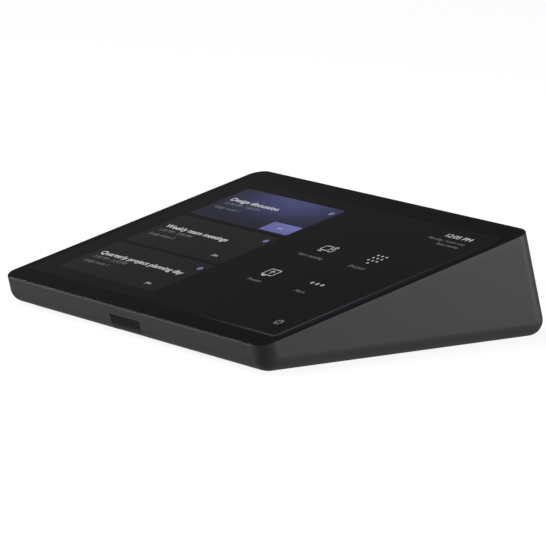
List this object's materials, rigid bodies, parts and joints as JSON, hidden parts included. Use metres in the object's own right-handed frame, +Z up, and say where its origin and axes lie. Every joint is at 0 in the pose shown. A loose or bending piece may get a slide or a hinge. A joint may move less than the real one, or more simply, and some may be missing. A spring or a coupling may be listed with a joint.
{
  "type": "tabletop touch controller",
  "caption": "Wedge-shaped tabletop touch-screen controller for a meeting room, with a front motion sensor window and a covered cable bay in its underside.",
  "frame": {"origin": "middle of the part's box in plan, on the plane of the rubber feet's undersides", "axes": "+X to the user's right, +Y away from the user towards the tall back, +Z up; the glass faces up and towards -Y, tilted 14 degrees"},
  "size_m": [0.242, 0.1774, 0.0565],
  "materials": {
    "housing_plastic": "fine matte moulded, dark grey",
    "glass_black": "polished black printed glass with a coating against fingerprints",
    "window_plastic": "satin dark infrared-clear plastic",
    "base_plastic": "matte textured, near black",
    "foot_rubber": "matte moulded rubber",
    "screw_steel": "black zinc or plain steel screws",
    "sheet_steel": "plated sheet steel",
    "ballast_iron": "painted cast iron",
    "heat_aluminium": "plain aluminium",
    "insert_brass": "turned brass",
    "board_laminate": "green solder mask on glass-filled laminate",
    "flex_film": "amber polyimide film",
    "adhesive_foam": "black foam tape",
    "backlight_plastic": "white moulded tray and light guide",
    "panel_film": "dark panel glass",
    "socket_metal": "plated socket shells",
    "socket_plastic": "black moulded socket",
    "sensor_metal": "tinned sensor can"
  },
  "bodies": {
    "root": {"housing_shell": "housing_plastic", "touch_glass": "glass_black", "sensor_window": "window_plastic", "glass_adhesive": "adhesive_foam", "lcd_cell": "panel_film", "backlight_unit": "backlight_plastic", "display_bracket": "sheet_steel", "processor_shield": "sheet_steel", "lock_plate": "sheet_steel", "touch_board": "board_laminate", "sensor_board": "board_laminate", "main_board": "board_laminate", "touch_flex": "flex_film", "display_flex": "flex_film", "sensor_flex": "flex_film", "motion_sensor": "sensor_metal", "base_plate": "base_plastic", "cable_clamp": "base_plastic", "foot_front_left": "foot_rubber", "foot_front_right": "foot_rubber", "foot_back_left": "foot_rubber", "foot_back_right": "foot_rubber", "base_screw_1": "screw_steel", "base_screw_2": "screw_steel", "base_screw_3": "screw_steel", "base_screw_4": "screw_steel", "base_screw_5": "screw_steel", "base_screw_6": "screw_steel", "display_screw_1": "screw_steel", "display_screw_2": "screw_steel", "display_screw_3": "screw_steel", "display_screw_4": "screw_steel", "board_screw_1": "screw_steel", "board_screw_2": "screw_steel", "board_screw_3": "screw_steel", "board_screw_4": "screw_steel", "ballast_screw_left": "screw_steel", "ballast_screw_right": "screw_steel", "clamp_screw_left": "screw_steel", "clamp_screw_right": "screw_steel", "mount_insert_1": "insert_brass", "mount_insert_2": "insert_brass", "mount_insert_3": "insert_brass", "mount_insert_4": "insert_brass", "ballast_left": "ballast_iron", "ballast_right": "ballast_iron", "heat_spreader": "heat_aluminium", "data_socket": "socket_metal", "video_socket": "socket_metal", "power_socket": "socket_plastic"},
    "cover": {"cable_cover": "base_plastic"},
    "screw": {"cover_screw": "screw_steel"}
  },
  "joints": [
    {"name": "cover_hinge", "type": "hinge", "parent": "root", "child": "cover", "pos_m": [0, 0.07319, 0.0027], "axis": [1, 0, 0], "range_deg": [0, 80]},
    {"name": "cover_screw_turn", "type": "hinge", "parent": "cover", "child": "screw", "pos_m": [0, 0.00318, 0.0026], "axis": [0, 0, 1], "continuous": true}
  ]
}
